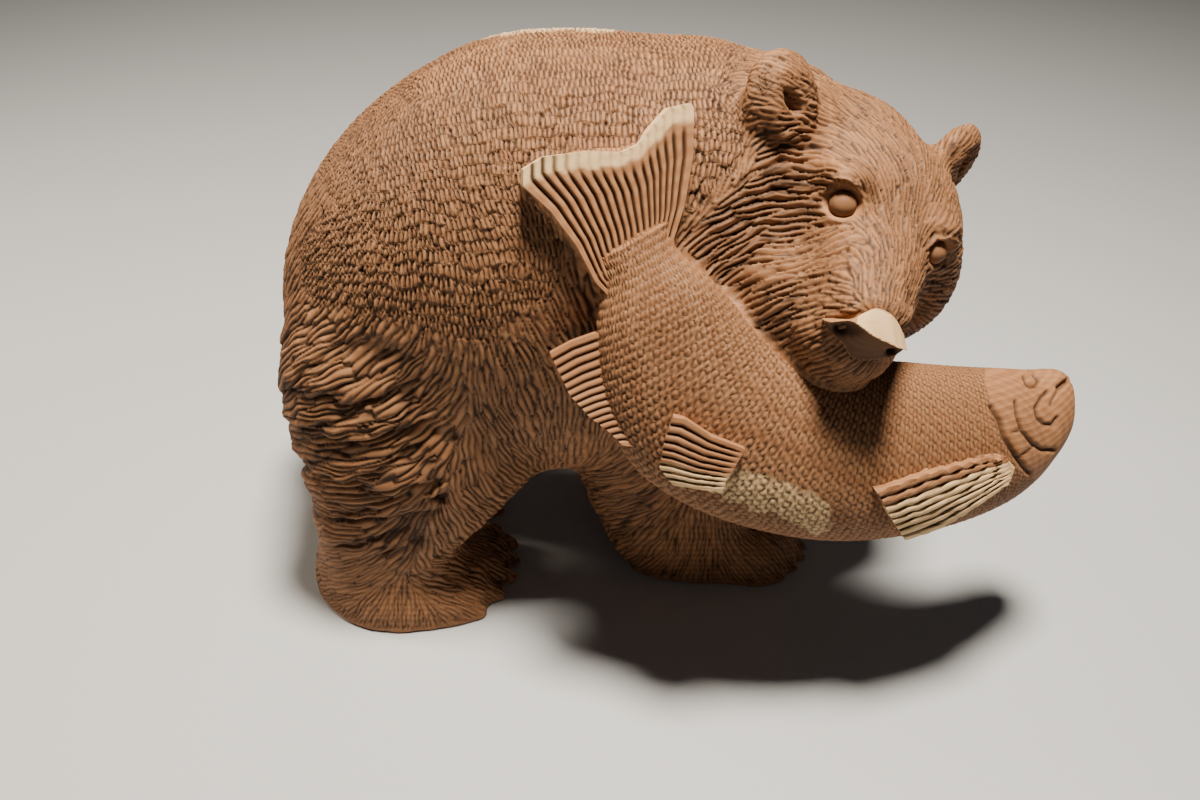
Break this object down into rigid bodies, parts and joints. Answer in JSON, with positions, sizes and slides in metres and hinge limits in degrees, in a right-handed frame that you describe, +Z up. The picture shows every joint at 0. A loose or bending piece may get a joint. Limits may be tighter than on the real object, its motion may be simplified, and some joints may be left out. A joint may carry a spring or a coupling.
{
  "type": "carved wooden bear with salmon",
  "caption": "Standing bear carved from one block of brown wood, head turned aside with a large salmon held crosswise in its mouth.",
  "frame": {"origin": "centre of the bounding box at the level of the soles", "axes": "+X the way the bear's body heads, +Y its left side, +Z up; the head and the fish are on the -Y side"},
  "size_m": [0.4166, 0.223, 0.3213],
  "materials": {
    "carved_wood": "bare gouged heartwood with pale sapwood at the nose, the fish's tail edge, its belly and its front fin"
  },
  "bodies": {
    "root": {"bear_with_salmon": "carved_wood"}
  },
  "joints": []
}
